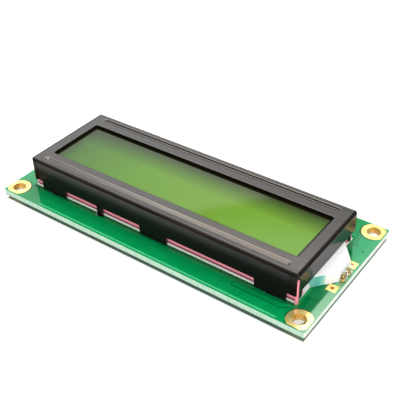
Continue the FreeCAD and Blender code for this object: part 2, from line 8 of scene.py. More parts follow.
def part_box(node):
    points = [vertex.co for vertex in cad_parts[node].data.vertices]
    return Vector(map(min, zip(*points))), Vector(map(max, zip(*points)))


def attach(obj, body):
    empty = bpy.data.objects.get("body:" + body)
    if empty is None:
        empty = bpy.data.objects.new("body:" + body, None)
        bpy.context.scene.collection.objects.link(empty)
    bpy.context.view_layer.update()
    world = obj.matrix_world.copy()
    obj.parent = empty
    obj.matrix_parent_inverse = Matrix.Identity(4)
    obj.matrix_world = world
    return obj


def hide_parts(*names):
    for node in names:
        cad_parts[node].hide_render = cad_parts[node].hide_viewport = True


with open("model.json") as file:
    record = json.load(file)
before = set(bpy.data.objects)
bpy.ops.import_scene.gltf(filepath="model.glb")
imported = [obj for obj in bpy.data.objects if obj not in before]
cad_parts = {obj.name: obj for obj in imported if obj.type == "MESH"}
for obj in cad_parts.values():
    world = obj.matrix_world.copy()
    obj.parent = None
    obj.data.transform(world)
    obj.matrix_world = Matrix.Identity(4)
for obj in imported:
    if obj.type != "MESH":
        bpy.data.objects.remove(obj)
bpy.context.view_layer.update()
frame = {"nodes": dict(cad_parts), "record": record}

NODES = frame["nodes"]
MM = 0.001


# Places on the object, in millimetres

def box_mm(node):
    """The lowest and the highest corner of a solid's box."""
    low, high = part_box(node)
    return low / MM, high / MM


board_low, board_high = box_mm("circuit_board")
BOARD_BOTTOM, BOARD_TOP = board_low.z, board_high.z
BEZEL_END = box_mm("bezel")[1].x
FRAME_END = box_mm("backlight_frame")[1].x
GUIDE_END = box_mm("light_guide")[1].x

# The bezel's own box takes in its twisted tabs, so the glass gives its width across the board
SHEET_AND_GAP = 0.6
glass_low, glass_high = box_mm("front_glass")
BEZEL_MIDDLE_Y = (glass_low.y + glass_high.y) / 2
BEZEL_HALF_WIDTH = (glass_high.y - glass_low.y) / 2 + SHEET_AND_GAP

# The mounting holes' centres, each way from the board's middle, and the rings round them
MOUNT_X, MOUNT_Y = 37.5, 15.5
RING_RADIUS = MOUNT_X - box_mm("mount_plating_near_right")[0].x

# The window in the bezel's face, and the width of the dark band painted round the display behind
# it as the shadow of the window's edges
WINDOW_LEFT, WINDOW_RIGHT = -32.4, 32.4
WINDOW_NEAR, WINDOW_FAR = -8.05, 6.65
EDGE_SHADOW_WIDTH = 0.72

# Where the long skirts end, and the open seams at the bezel's corners begin
SKIRT_END = 34.6

# Relief of what is printed on the board or etched under its mask
RELIEF = 0.02


# Node materials

BLACK, WHITE = (0.0, 0.0, 0.0), (1.0, 1.0, 1.0)

# Range that holds nearly all values of a noise texture
NOISE = (0.3, 0.7)

# Share of a normal along an axis from which a face counts as facing along that axis
FACING = (0.4, 0.6)


class Nodes:
    """Adds nodes to a tree. Inputs are sockets or plain values, and results are sockets."""

    def __init__(self, tree):
        self.tree = tree

    def add(self, kind, inputs=(), **settings):
        node = self.tree.nodes.new(kind)
        for key, value in settings.items():
            setattr(node, key, value)
        for key, value in dict(inputs).items():
            if isinstance(value, bpy.types.NodeSocket):
                self.tree.links.new(value, node.inputs[key])
            else:
                node.inputs[key].default_value = value
        return node

    def math(self, operation, a, b=0.0):
        return self.add("ShaderNodeMath", {0: a, 1: b}, operation=operation).outputs[0]

    def plus(self, a, b):
        return self.math("ADD", a, b)

    def minus(self, a, b):
        return self.math("SUBTRACT", a, b)

    def times(self, a, b):
        return self.math("MULTIPLY", a, b)

    def size(self, a):
        """A value without its sign."""
        return self.math("ABSOLUTE", a)

    def sum_of_squares(self, a, b):
        return self.plus(self.math("POWER", a, 2.0), self.math("POWER", b, 2.0))

    def highest(self, first, *others):
        for other in others:
            first = self.math("MAXIMUM", first, other)
        return first

    def dimmed(self, value, share):
        """A value less a share of itself."""
        return self.times(value, self.minus(1.0, share))

    def span(self, value, low, high, out_low=0.0, out_high=1.0, kind="SMOOTHSTEP"):
        """Smooth step of a value from one range to another."""
        return self.add("ShaderNodeMapRange", {
            "Value": value, "From Min": low, "From Max": high,
            "To Min": out_low, "To Max": out_high}, interpolation_type=kind).outputs[0]

    def slope(self, value, low, high, out_low=0.0, out_high=1.0):
        """Straight ramp of a value from one range to another."""
        return self.span(value, low, high, out_low, out_high, kind="LINEAR")

    def band(self, value, rise, fall):
        """1 between a rise and a fall, 0 outside them."""
        return self.times(self.span(value, *rise), self.span(value, *fall, 1.0, 0.0))

    def blend(self, factor, a, b):
        """Blend of two values."""
        return self.add("ShaderNodeMix", {0: factor, 2: a, 3: b}).outputs[0]

    def mix(self, factor, a, b):
        """Blend of two colours."""
        a, b = ((*colour, 1.0) if isinstance(colour, tuple) else colour for colour in (a, b))
        return self.add("ShaderNodeMix", {0: factor, 6: a, 7: b}, data_type="RGBA").outputs[2]

    def ramp(self, factor, *stops):
        """Colour from a factor, with stops of (place, colour)."""
        node = self.add("ShaderNodeValToRGB", {0: factor})
        elements = node.color_ramp.elements
        while len(elements) < len(stops):
            elements.new(0.5)
        for element, (where, colour) in zip(elements, stops):
            element.position = where
            element.color = (*colour, 1.0)
        return node.outputs[0]

    def two_tone(self, factor, dark, light):
        """Colour between two tones, from a noise value."""
        return self.ramp(factor, *zip(NOISE, (dark, light)))


class Look(Nodes):
    """A procedural material: each surface value is worked out from the place on the object."""

    def __init__(self, name, **constants):
        self.material = bpy.data.materials.new(name)
        self.material.use_nodes = True
        super().__init__(self.material.node_tree)
        self.shader = self.tree.nodes["Principled BSDF"]
        for socket, value in constants.items():
            self.shader.inputs[socket.replace("_", " ")].default_value = value
        self.object_place = self.add("ShaderNodeTexCoord").outputs["Object"]
        self.relief = None

    def place(self, stretch=(1.0, 1.0, 1.0)):
        """Position in millimetres, stretched along each axis."""
        scale = tuple(s / MM for s in stretch)
        return self.add("ShaderNodeMapping",
                        {"Vector": self.object_place, "Scale": scale}).outputs[0]

    def parts(self, vector):
        """X, Y and Z of a vector."""
        return self.add("ShaderNodeSeparateXYZ", {"Vector": vector}).outputs

    def axes(self):
        """X, Y and Z of the place, in millimetres."""
        return self.parts(self.place())

    def normal(self):
        """X, Y and Z of the surface's normal."""
        return self.parts(self.add("ShaderNodeNewGeometry").outputs["Normal"])

    def noise(self, scale, stretch=(1.0, 1.0, 1.0), detail=3.0, roughness=0.55):
        return self.add("ShaderNodeTexNoise", {
            "Vector": self.place(stretch), "Scale": scale,
            "Detail": detail, "Roughness": roughness}).outputs[0]

    def wobble(self, scale, reach):
        """Noise about zero."""
        return self.times(self.minus(self.noise(scale), 0.5), reach)

    def set(self, socket, value):
        self.tree.links.new(value, self.shader.inputs[socket])

    def bump(self, height, strength, depth_mm):
        """Adds fine relief on top of any that the surface already has."""
        node = self.add("ShaderNodeBump", {
            "Height": height, "Strength": strength, "Distance": depth_mm * MM})
        if self.relief:
            self.tree.links.new(self.relief, node.inputs["Normal"])
        self.relief = node.outputs[0]
        self.set("Normal", self.relief)


def plain_look(name, dark, light, rough, scale=1.5, relief=0.01, relief_scale=8.0, **constants):
    """Moulded or cast surface: gently varied colour and gloss, and fine relief."""
    rough_spread = 0.08
    look = Look(name, **constants)
    look.set("Base Color", look.two_tone(look.noise(scale), dark, light))
    fine = look.noise(relief_scale, detail=2.0)
    look.set("Roughness", look.span(fine, 0.25, 0.75, rough - rough_spread, rough + rough_spread))
    look.bump(fine, 0.4, relief)
    return look


def mask_green_with_painted_light(look, x, y, upper):
    """The mask's colour, with painted light: paler at the left end, painted shade deep by the
    lamp, and a painted sheen past a slant towards the far corner and along the board's end.
    """
    patches = look.noise(0.35, detail=4.0)
    green = look.two_tone(patches, (0.0, 0.285, 0.074), (0.002, 0.33, 0.092))

    left_from, lamp_from, strip_from = (35.3, 36.6), (35.0, 35.6), (38.2, 38.5)
    # Painted light: paler towards the board's left end
    green = look.mix(look.span(look.minus(patches, x), *left_from), green, (0.02, 0.42, 0.15))

    # Painted shade: deep green past the bezel's end by the lamp
    shade_by_lamp = look.times(look.span(x, *lamp_from), upper)
    shaded_green = look.two_tone(patches, (0.0, 0.155, 0.04), (0.0, 0.2, 0.055))
    green = look.mix(shade_by_lamp, green, shaded_green)

    # Painted sheen: paler past a slant towards the far corner, and in a strip along the board's
    # end
    slant, slant_from = 0.45, (39.75, 40.15)
    sheen_past_slant = look.span(look.plus(x, look.times(y, slant)), *slant_from)
    green = look.mix(look.times(shade_by_lamp, sheen_past_slant), green, (0.03, 0.385, 0.155))
    sheen_end_strip = look.times(look.span(x, *strip_from), upper)
    sheen_green = look.mix(look.span(y, -2.0, 6.0), (0.15, 0.43, 0.23), (0.05, 0.39, 0.17))
    green = look.mix(sheen_end_strip, green, sheen_green)

    specks = look.span(look.noise(4.0, detail=2.0), 0.62, 0.72, 0.0, 0.12)
    return look.mix(specks, green, (0.01, 0.45, 0.16))


def ring_line(look, x, y):
    """Dark edge of the mask round each mounting ring, on the side of the board's middle."""
    past_hole = look.minus(look.size(x), MOUNT_X), look.minus(look.size(y), MOUNT_Y)
    from_ring = look.minus(look.math("SQRT", look.sum_of_squares(*past_hole)), RING_RADIUS)
    line = look.span(from_ring, 0.22, 0.42, 0.75, 0.0)
    inner_side = look.span(look.highest(*past_hole), 0.0, 1.6, 1.0, 0.0)
    return look.times(line, inner_side)


def cut_edge(look, z, end_share, layers):
    """The board's cut edges: pale laminate between the mask's lip and a dark foot of painted
    shade.
    """
    cuts = look.noise(1.6, stretch=(1.0, 1.0, 0.05), detail=2.0)
    mixed = look.plus(look.times(layers, 0.6), look.times(cuts, 0.4))
    side = look.ramp(mixed, (0.3, (0.36, 0.6, 0.44)), (0.5, (0.52, 0.76, 0.6)),
                     (0.72, (0.72, 0.84, 0.7)))
    end = look.two_tone(mixed, (0.66, 0.8, 0.7), (0.95, 0.95, 0.88))
    edge = look.mix(look.span(end_share, *FACING), side, end)
    # Painted shade: a dark foot along the bottom of the cut edge
    foot = look.span(look.plus(z, look.times(layers, 0.15)),
                     BOARD_BOTTOM + 0.22, BOARD_BOTTOM + 0.38, 1.0, 0.0)
    edge = look.mix(foot, edge, (0.05, 0.13, 0.075))
    lip = look.span(z, BOARD_TOP - 0.16, BOARD_TOP - 0.08)
    return look.mix(lip, edge, (0.03, 0.42, 0.16))


def solder_mask_look():
    """Glossy green mask on both faces, with painted shade beside the bezel's skirts, and bare cut
    edges.
    """
    look = Look("solder_mask", IOR=1.5)
    x, y, z = look.axes()
    normal = look.normal()
    flat = look.span(look.size(normal[2]), *FACING)
    upper = look.span(normal[2], *FACING)
    # Painted shade: the mask darkens close to the bezel's skirts
    past_side = look.minus(look.size(look.minus(y, BEZEL_MIDDLE_Y)), BEZEL_HALF_WIDTH)
    past_end = look.minus(look.size(x), SKIRT_END)
    skirt_shade = look.span(look.highest(past_side, past_end), 0.0, 0.8, 1.0, 0.0)
    skirt_shade = look.times(skirt_shade, upper)

    green = look.mix(look.times(skirt_shade, 0.55), mask_green_with_painted_light(look, x, y, upper), BLACK)
    green = look.mix(ring_line(look, x, y), green, (0.0, 0.05, 0.025))
    layers = look.noise(2.2, stretch=(0.5, 0.5, 6.0), detail=4.0)
    edge = cut_edge(look, z, look.size(normal[0]), layers)
    look.set("Base Color", look.mix(flat, edge, green))
    look.set("Specular IOR Level", look.span(skirt_shade, 0.0, 0.8, 0.5, 0.12))
    look.set("Roughness", look.span(flat, 0.0, 1.0, 0.55, 0.12))
    look.bump(look.noise(1.2, detail=2.0), 0.15, 0.015)
    look.bump(layers, look.span(flat, 0.0, 1.0, 0.4, 0.0), 0.04)
    return look


def gold_look():
    """Plated copper: satin yellow faces, and bores painted redder and darker as the shade inside
    the holes, and paler at their foot as painted light from the floor below.
    """
    look = Look("gold_plating", Metallic=0.7)
    z = look.axes()[2]
    patches = look.noise(0.9, detail=3.0)
    face = look.ramp(patches, (0.3, (0.93, 0.74, 0.25)), (0.55, (1.0, 0.86, 0.34)),
                     (0.75, (1.0, 0.9, 0.42)))
    # Painted shade: bore walls redder and darker than the faces
    bore_shade_and_glow = look.ramp(patches, (0.35, (0.95, 0.46, 0.07)), (0.65, (1.0, 0.74, 0.22)))
    # Painted light: each bore paler at its foot
    foot = look.span(z, BOARD_BOTTOM + 0.2, BOARD_BOTTOM + 0.6, 1.0, 0.0)
    bore_shade_and_glow = look.mix(foot, bore_shade_and_glow, (1.0, 0.88, 0.62))
    up_share = look.size(look.normal()[2])
    look.set("Base Color", look.mix(look.span(up_share, 0.3, 0.7), bore_shade_and_glow, face))
    fine = look.noise(8.0, detail=2.0)
    look.set("Roughness", look.span(fine, *NOISE, 0.16, 0.24))
    look.bump(fine, 0.08, 0.004)
    return look


def black_steel_look():
    """Black coated sheet: fine grain along the stamping, and a glossier face than skirts."""
    look = Look("black_steel", IOR=1.5)
    x, y, z = look.axes()
    normal = look.normal()
    up_share, end_share = look.size(normal[2]), look.size(normal[0])

    # Millimetres past the bezel's near side, its far side and its ends, negative inside it
    past_near = look.minus(look.minus(BEZEL_MIDDLE_Y, y), BEZEL_HALF_WIDTH)
    past_far = look.minus(look.minus(y, BEZEL_MIDDLE_Y), BEZEL_HALF_WIDTH)
    past_end = look.minus(look.size(x), BEZEL_END)

    streaks = look.noise(2.2, stretch=(0.04, 2.2, 1.0), detail=5.0, roughness=0.7)
    patches = look.noise(0.25, stretch=(1.0, 2.0, 1.0), detail=3.0)
    base = look.two_tone(streaks, (0.003, 0.003, 0.003), (0.012, 0.01, 0.009))
    base = look.mix(look.span(patches, *NOISE), base, (0.006, 0.006, 0.006))
    # Painted highlight: on the outer bend the gloss is cut, and brown streaks stand in for its tan
    # highlight
    fold = look.times(look.span(look.highest(past_near, past_end), -0.76, -0.62),
                      look.span(up_share, 0.1, 0.3))
    tan_bend_sheen = look.times(fold, look.span(streaks, 0.45, 0.7))
    look.set("Base Color", look.mix(tan_bend_sheen, base, (0.035, 0.024, 0.016)))

    on_skirts = look.span(z, BOARD_TOP + 4.4, BOARD_TOP + 6.8, 0.1, 0.33)
    on_face = look.span(up_share, 0.2, 0.8, 0.0, 0.92)
    on_ends = look.span(end_share, 0.2, 0.8, 0.0, 0.8)
    gloss = look.highest(on_skirts, on_face, on_ends)

    # The walls of the grooves and of the window are duller at the ends and at the far side
    duller = look.highest(look.span(look.size(x), 32.6, 33.6, 0.0, 0.6),
                          look.span(x, 0.0, 22.0, 0.0, 0.26),
                          look.span(y, 8.8, 9.4, 0.0, 0.5))
    tilted = look.span(up_share, 0.9, 0.995, 1.0, 0.0)
    gloss = look.dimmed(gloss, look.times(duller, tilted))
    by_grooves = look.highest(look.band(past_near, (-1.75, -1.35), (-1.1, -0.8)),
                              look.band(past_far, (-1.6, -1.3), (-0.95, -0.8)))
    gloss = look.dimmed(gloss, look.times(by_grooves, 0.24))
    gloss = look.times(gloss, look.span(past_far, -0.8, -0.65, 1.0, 1.4))
    look.set("Specular IOR Level", look.times(gloss, look.span(fold, 0.0, 1.0, 1.0, 0.08)))
    look.set("Roughness", look.plus(look.span(streaks, *NOISE, 0.18, 0.25),
                                    look.times(fold, 0.15)))
    look.bump(streaks, 0.12, 0.008)
    look.bump(look.noise(9.0, detail=2.0), 0.03, 0.006)
    return look


def display_look():
    """Yellow-green cell with painted shade: darker towards the left end, dim at its far edge, and
    a dark band painted round the window's edge as the bezel's shadow.
    """
    look = Look("display_film", Specular_IOR_Level=0.5, IOR=1.5)
    x, y = look.axes()[:2]
    # Painted shade: the cell darkens towards the window's left end
    along = look.slope(look.plus(x, look.wobble(0.12, 3.0)), WINDOW_LEFT, WINDOW_RIGHT)
    cell = look.ramp(along, (0.0, (0.012, 0.035, 0.0)), (0.06, (0.05, 0.165, 0.003)),
                     (0.33, (0.103, 0.28, 0.003)), (0.6, (0.138, 0.31, 0.012)),
                     (0.8, (0.158, 0.35, 0.024)), (1.0, (0.158, 0.345, 0.03)))
    # Painted shade: the cell dims to near black towards the window's far edge
    from_far_edge = look.slope(y, 6.7, 0.0)
    cell = look.mix(from_far_edge, (0.01, 0.012, 0.003), cell)
    beyond_x = look.minus(look.size(x), WINDOW_RIGHT - EDGE_SHADOW_WIDTH)
    from_middle = look.size(look.minus(y, (WINDOW_NEAR + WINDOW_FAR) / 2))
    beyond_y = look.minus(from_middle, (WINDOW_FAR - WINDOW_NEAR) / 2 - EDGE_SHADOW_WIDTH)
    # Painted shadow of the window's edges: a dark band just inside them all round
    painted_edge_shadow = look.span(look.highest(beyond_x, beyond_y), -0.03, 0.03)
    look.set("Base Color", look.mix(painted_edge_shadow, cell, (0.011, 0.0095, 0.0028)))
    look.set("Roughness", look.span(look.noise(6.0), *NOISE, 0.03, 0.05))
    look.bump(look.noise(12.0, detail=2.0), 0.03, 0.003)
    return look


def elastomer_look():
    """Pink silicone with fine layers, dark in the bezel's shade above and near the board."""
    look = Look("pink_elastomer", Specular_IOR_Level=0.35)
    x, _, z = look.axes()
    layers = look.add("ShaderNodeTexWave", {
        "Vector": look.place(), "Scale": 1.6, "Distortion": 0.3},
        wave_type="BANDS", bands_direction="X").outputs["Fac"]
    patches = look.noise(0.8)
    pink = look.two_tone(patches, (0.97, 0.26, 0.34), (1.0, 0.35, 0.44))
    pink = look.mix(look.times(layers, 0.12), pink, (0.97, 0.5, 0.53))
    shaded = look.highest(look.span(z, BOARD_TOP + 1.3, BOARD_TOP + 1.8, 0.0, 0.8),
                          look.span(z, BOARD_TOP + 0.8, BOARD_TOP + 0.6, 0.0, 0.9))
    shaded = look.times(shaded, look.span(x, SKIRT_END - 0.1, SKIRT_END + 0.1, 1.0, 0.0))
    look.set("Base Color", look.mix(shaded, pink, (0.1, 0.015, 0.02)))
    look.set("Roughness", look.span(patches, *NOISE, 0.5, 0.62))
    look.bump(layers, 0.3, 0.02)
    return look


def acrylic_look():
    """Clear guide whose bare side is painted teal, the green board's light bouncing in it, and
    painted paler towards the white lamp reflector seen through it.
    """
    look = Look("clear_acrylic", IOR=1.49, Specular_IOR_Level=0.5)
    x = look.axes()[0]
    along = look.slope(look.plus(x, look.wobble(1.0, 0.5)), FRAME_END, GUIDE_END)
    # Painted light: teal bounce from the board, paler towards the lamp
    look.set("Base Color", look.ramp(along, (0.0, (0.22, 0.52, 0.47)), (0.25, (0.13, 0.5, 0.43)),
                                     (0.42, (0.3, 0.68, 0.6)), (0.55, (0.85, 0.92, 0.88))))
    fine = look.noise(5.0, stretch=(0.4, 1.0, 1.0), detail=2.0)
    look.set("Roughness", look.span(fine, *NOISE, 0.12, 0.24))
    look.bump(fine, 0.15, 0.02)
    return look


def lamp_look():
    """Water-clear casting resin: see-through face on, painted opaque white towards its outline as
    a rim highlight.
    """
    look = Look("clear_resin", IOR=1.5, Specular_IOR_Level=0.7)
    rim = look.add("ShaderNodeLayerWeight", {"Blend": 0.35}).outputs["Facing"]
    swirl = look.noise(1.5)
    look.set("Base Color", look.two_tone(swirl, (0.93, 0.93, 0.88), (1.0, 1.0, 0.97)))
    # Painted rim highlight: opaque white where the surface turns edge-on
    look.set("Alpha", look.span(rim, 0.5, 0.85, 0.05, 0.9))
    look.set("Roughness", look.span(swirl, *NOISE, 0.04, 0.1))
    look.bump(look.noise(3.0, detail=2.0), 0.1, 0.01)
    return look


def glass_look():
    """Clear glass with a slight green tint."""
    look = Look("cell_glass", IOR=1.52, Transmission_Weight=1.0)
    look.set("Base Color", look.two_tone(look.noise(1.0), (0.72, 0.86, 0.76), (0.82, 0.93, 0.84)))
    fine = look.noise(6.0, detail=2.0)
    look.set("Roughness", look.span(fine, *NOISE, 0.015, 0.03))
    look.bump(fine, 0.1, 0.01)
    return look


LOOKS = {
    "solder_mask": solder_mask_look(),
    "gold_plating": gold_look(),
    "black_steel": black_steel_look(),
    "display_film": display_look(),
    "cell_glass": glass_look(),
    "pink_elastomer": elastomer_look(),
    "clear_acrylic": acrylic_look(),
    "clear_resin": lamp_look(),
}

# The other slots: the darkest and the lightest colour, the roughness, and what differs
for slot, dark, light, rough, more in (
        ("seal_resin", (0.4, 0.4, 0.3), (0.5, 0.5, 0.38), 0.5, {}),
        ("white_plastic", (0.96, 0.96, 0.95), (0.99, 0.99, 0.98), 0.45, {}),
        ("white_film", (0.94, 0.94, 0.94), (0.98, 0.98, 0.98), 0.3, {"relief": 0.006}),
        ("lamp_chip", (0.3, 0.32, 0.08), (0.5, 0.52, 0.16), 0.25, {}),
        ("black_resin", (0.012, 0.012, 0.013), (0.025, 0.025, 0.026), 0.38,
         {"scale": 0.6, "relief": 0.03, "relief_scale": 2.0}),
        ("black_chip", (0.02, 0.02, 0.022), (0.04, 0.04, 0.042), 0.4, {}),
        ("brown_chip", (0.3, 0.2, 0.12), (0.4, 0.28, 0.18), 0.45, {}),
        ("solder", (0.6, 0.6, 0.6), (0.75, 0.75, 0.74), 0.28, {"scale": 4.0, "Metallic": 1.0})):
    LOOKS[slot] = plain_look(slot, dark, light, rough, **more)

for part in frame["record"]["subparts"]:
    node = NODES[part["node"]]
    node.data.materials.clear()
    node.data.materials.append(LOOKS[part["material_slot"]].material)


# The camera, at the photograph's place

AZIMUTH, ELEVATION, ROLL = (math.radians(a) for a in (37.3078, 36.7925, -1.914))
LENS, SENSOR_WIDTH = 68.5134, 36.0
AIM, DISTANCE = Vector((0.3579, 4.0171, BOARD_TOP)), 171.7054

back = Vector((math.sin(AZIMUTH) * math.cos(ELEVATION),
               -math.cos(AZIMUTH) * math.cos(ELEVATION), math.sin(ELEVATION)))
level = Vector((math.cos(AZIMUTH), math.sin(AZIMUTH), 0.0))
upright = back.cross(level)
right = level * math.cos(ROLL) + upright * math.sin(ROLL)
up = upright * math.cos(ROLL) - level * math.sin(ROLL)
turn = Matrix((right, up, back)).transposed().to_4x4()

camera = bpy.data.objects.new("camera", bpy.data.cameras.new("camera"))
camera.data.lens = LENS
camera.data.sensor_width = SENSOR_WIDTH
camera.matrix_world = Matrix.Translation((AIM + back * DISTANCE) * MM) @ turn
bpy.context.scene.collection.objects.link(camera)
bpy.context.scene.camera = camera


# Shapes of new pieces, in millimetres

class Shape:
    """Corners and faces that a piece is made from."""

    def __init__(self):
        self.corners, self.faces = [], []

    def sweep(self, sections, closed=False):
        """Skins a row of like sections, each anticlockwise seen from the row's far end.

        An open row gets a face at each end, and a closed one joins its last section to its first.
        """
        first, size, count = len(self.corners), len(sections[0]), len(sections)
        for section in sections:
            self.corners += section
        for i in range(count if closed else count - 1):
            a, b = first + size * i, first + size * ((i + 1) % count)
            for k in range(size):
                n = (k + 1) % size
                self.faces.append((a + k, a + n, b + n, b + k))
        if not closed:
            last = first + size * (count - 1)
            self.faces.append(tuple(first + k for k in reversed(range(size))))
            self.faces.append(tuple(last + k for k in range(size)))

    def prism(self, outline, low, high):
        """Adds an upright prism over a plan outline given anticlockwise."""
        self.sweep([[(x, y, z) for x, y in outline] for z in (low, high)])

    def tube(self, centre, radius, wall, low, high, sides=24):
        """Adds an upright tube with flat rims."""
        rims = zip(circle(centre, radius, sides), circle(centre, radius - wall, sides))
        self.sweep([[(*outer, low), (*inner, low), (*inner, high), (*outer, high)]
                    for outer, inner in rims], closed=True)

    def made(self, name):
        mesh = bpy.data.meshes.new(name)
        mesh.from_pydata([Vector(corner) * MM for corner in self.corners], [], self.faces)
        mesh.update()
        piece = bpy.data.objects.new(name, mesh)
        bpy.context.scene.collection.objects.link(piece)
        return piece


def dress(name, shape, look):
    """Makes a new piece, gives it its material, and fixes it to the module."""
    piece = shape.made(name)
    piece.data.materials.append(look.material)
    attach(piece, "root")
    return piece


def arc(centre, radius, start, stop, steps=10):
    """Points on a circle's arc between two angles in degrees."""
    found = []
    for i in range(steps + 1):
        angle = math.radians(start + (stop - start) * i / steps)
        found.append((centre[0] + radius * math.cos(angle), centre[1] + radius * math.sin(angle)))
    return found


def circle(centre, radius, sides):
    return arc(centre, radius, 0, 360 - 360 / sides, sides - 1)


def rectangle(x_low, y_low, x_high, y_high):
    return [(x_low, y_low), (x_high, y_low), (x_high, y_high), (x_low, y_high)]


def middle_of(node):
    low, high = box_mm(node)
    return (low + high) / 2


def sideways(points, closed):
    """At each point of a route, the offset to its left for one unit of width, mitred at bends."""
    count = len(points)
    legs = count if closed else count - 1
    ways = [(points[(i + 1) % count] - points[i]).normalized() for i in range(legs)]
    found = []
    for i in range(count):
        before = ways[i - 1] if closed or i > 0 else ways[0]
        after = ways[i] if closed or i < count - 1 else ways[-1]
        middle = (before + after).normalized()
        side = Vector((-middle.y, middle.x))
        found.append(side / max(0.3, side.dot(Vector((-after.y, after.x)))))
    return found


def ribbons(routes, width, from_z, height, closed=False):
    """Low strips along plan routes, sunk into the board by a fifth of their height.

    Height is signed: a negative one hangs under the board.
    """
    shape = Shape()
    low, high = sorted((from_z - 0.2 * height, from_z + height))
    for route in routes:
        points = [Vector(p) for p in route]
        sections = []
        for point, side in zip(points, sideways(points, closed)):
            right_hand, left_hand = (point + side * shift * width for shift in (-0.5, 0.5))
            sections.append([(*right_hand, low), (*left_hand, low),
                             (*left_hand, high), (*right_hand, high)])
        shape.sweep(sections, closed)
    return shape


def discs(centres, radius, from_z, height, sides=20):
    """Low round plates, with a signed height as in ribbons."""
    shape = Shape()
    for centre in centres:
        shape.prism(circle(centre, radius, sides), *sorted((from_z, from_z + height)))
    return shape


def track_outline(centre_line, width):
    """Outline of a copper track under the mask: round at its first end, open at its last."""
    points = [Vector(p) for p in centre_line]
    sides = sideways(points, False)
    on_left = [tuple(p + s * width / 2) for p, s in zip(points, sides)]
    on_right = [tuple(p - s * width / 2) for p, s in zip(points, sides)]
    way = points[1] - points[0]
    heading = math.degrees(math.atan2(way.y, way.x))
    cap = arc(centre_line[0], width / 2, heading + 90, heading + 270)
    return on_left[::-1] + cap[1:-1] + on_right


# Fine detail of the board

def board_detail():
    """Copper edges and vias under the mask of the upper face, and wire ends in the lamp's pads."""
    pour_edge = [(-29.0, board_low.y + 0.55), (33.6, board_low.y + 0.55)]
    near_track = track_outline([(22.15, -14.25), (32.75, -14.25), (34.75, -12.95)], 1.3)
    far_track = [(34.6, 14.2), (36.0, 13.0), (36.0, 9.8), (35.5, 8.2)]
    beside_it = [(34.0, 13.9), (35.45, 12.7), (35.45, 9.9), (35.1, 8.6)]
    via_places = [(36.64, 9.61), (38.44, 8.46)]
    wire_places = [middle_of("lamp_pad_cathode"), middle_of("lamp_pad_anode")]

    # The pour's edge is a low step in the mask, painted bright green as its highlight
    edge_highlight = plain_look("mask_edge_painted_highlight", (0.04, 0.5, 0.22), (0.08, 0.62, 0.28), 0.18,
                     scale=2.0, relief=0.004)
    dark = plain_look("mask_edge_dark", (0.0, 0.09, 0.03), (0.0, 0.14, 0.045), 0.18,
                      scale=2.0, relief=0.004)
    copper = plain_look("wire_end", (0.25, 0.06, 0.015), (0.5, 0.16, 0.05), 0.3, scale=4.0)
    dress("pour_edge_near", ribbons([pour_edge], 0.4, BOARD_TOP, RELIEF), edge_highlight)
    dress("track_edges", ribbons([near_track, far_track, beside_it], 0.18, BOARD_TOP, RELIEF),
          dark)
    dress("wire_ends", discs(wire_places, 0.39, BOARD_TOP - 0.3, 0.24), copper)
    dress("vias", discs(via_places, 0.22, BOARD_TOP, RELIEF), dark)


def underside_detail():
    """Tracks and vias under the mask, and white outlines printed round the chip parts."""
    routes, vias, outlines = [], [], []
    for name in sorted(NODES):
        if not name.startswith(("chip_resistor", "chip_capacitor")):
            continue
        x, y = middle_of(name).xy
        outlines.append(rectangle(x - 0.95, y - 1.75, x + 0.95, y + 1.75))
        routes.append([(x, y + 1.4), (x, y + 2.6), (x + 0.7, y + 3.3), (x + 0.7, y + 4.3)])
        vias.append(routes[-1][-1])
    pitch, fan_x, fan_y = 1.1, 0.12, 0.25
    for blob in ("controller_blob", "driver_blob"):
        low, high = box_mm(blob)
        middle, radius = (low + high) / 2, (high.x - low.x) / 2
        outlines.append(circle(middle, radius + 0.6, 48))
        for i in range(-5, 6):
            x = middle.x + i * pitch
            rim_y = middle.y - math.sqrt(max(0.0, radius ** 2 - (i * pitch) ** 2))
            bend_y = rim_y - 0.6 - fan_y * abs(i)
            routes.append([(x, rim_y + 0.3), (x, bend_y), (x + fan_x * i, bend_y - 1.0)])
            vias.append(routes[-1][-1])

    step = plain_look("mask_track_under", (0.01, 0.46, 0.16), (0.02, 0.54, 0.2), 0.18,
                      scale=2.0, relief=0.004)
    ink = plain_look("outline_ink", (0.75, 0.75, 0.72), (0.85, 0.85, 0.82), 0.5, scale=4.0)
    dress("tracks_under", ribbons(routes, 0.25, BOARD_BOTTOM, -RELIEF), step)
    dress("vias_under", discs(vias, 0.3, BOARD_BOTTOM, -RELIEF), LOOKS["solder"])
    dress("outlines_under", ribbons(outlines, 0.15, BOARD_BOTTOM, -RELIEF, closed=True),
          ink)


# The elastomer strip's end and the lamp

def seam_filling():
    """End of the near elastomer strip, which shows in the open seam at the lamp end's corner."""
    strip_low, strip_high = box_mm("elastomer_strip_near")
    inner, outer = strip_high.x + 0.07, BEZEL_END - 0.06
    near = BEZEL_MIDDLE_Y - BEZEL_HALF_WIDTH + 0.12
    width, corner = 0.6, 0.3
    outline = [(inner, near), (outer - corner, near + 0.02), (outer, near + corner),
               (outer, near + width), (inner, near + width)]
    end = Shape()
    end.prism(outline, strip_low.z, strip_high.z + 0.7)
    dress("strip_end", end, LOOKS["pink_elastomer"])


# Direction of the white strips of painted rim highlight on the lamp's lobes, seen from above:
# across the camera's line of sight
RIM_STRIP_TURN = math.radians(38.0)


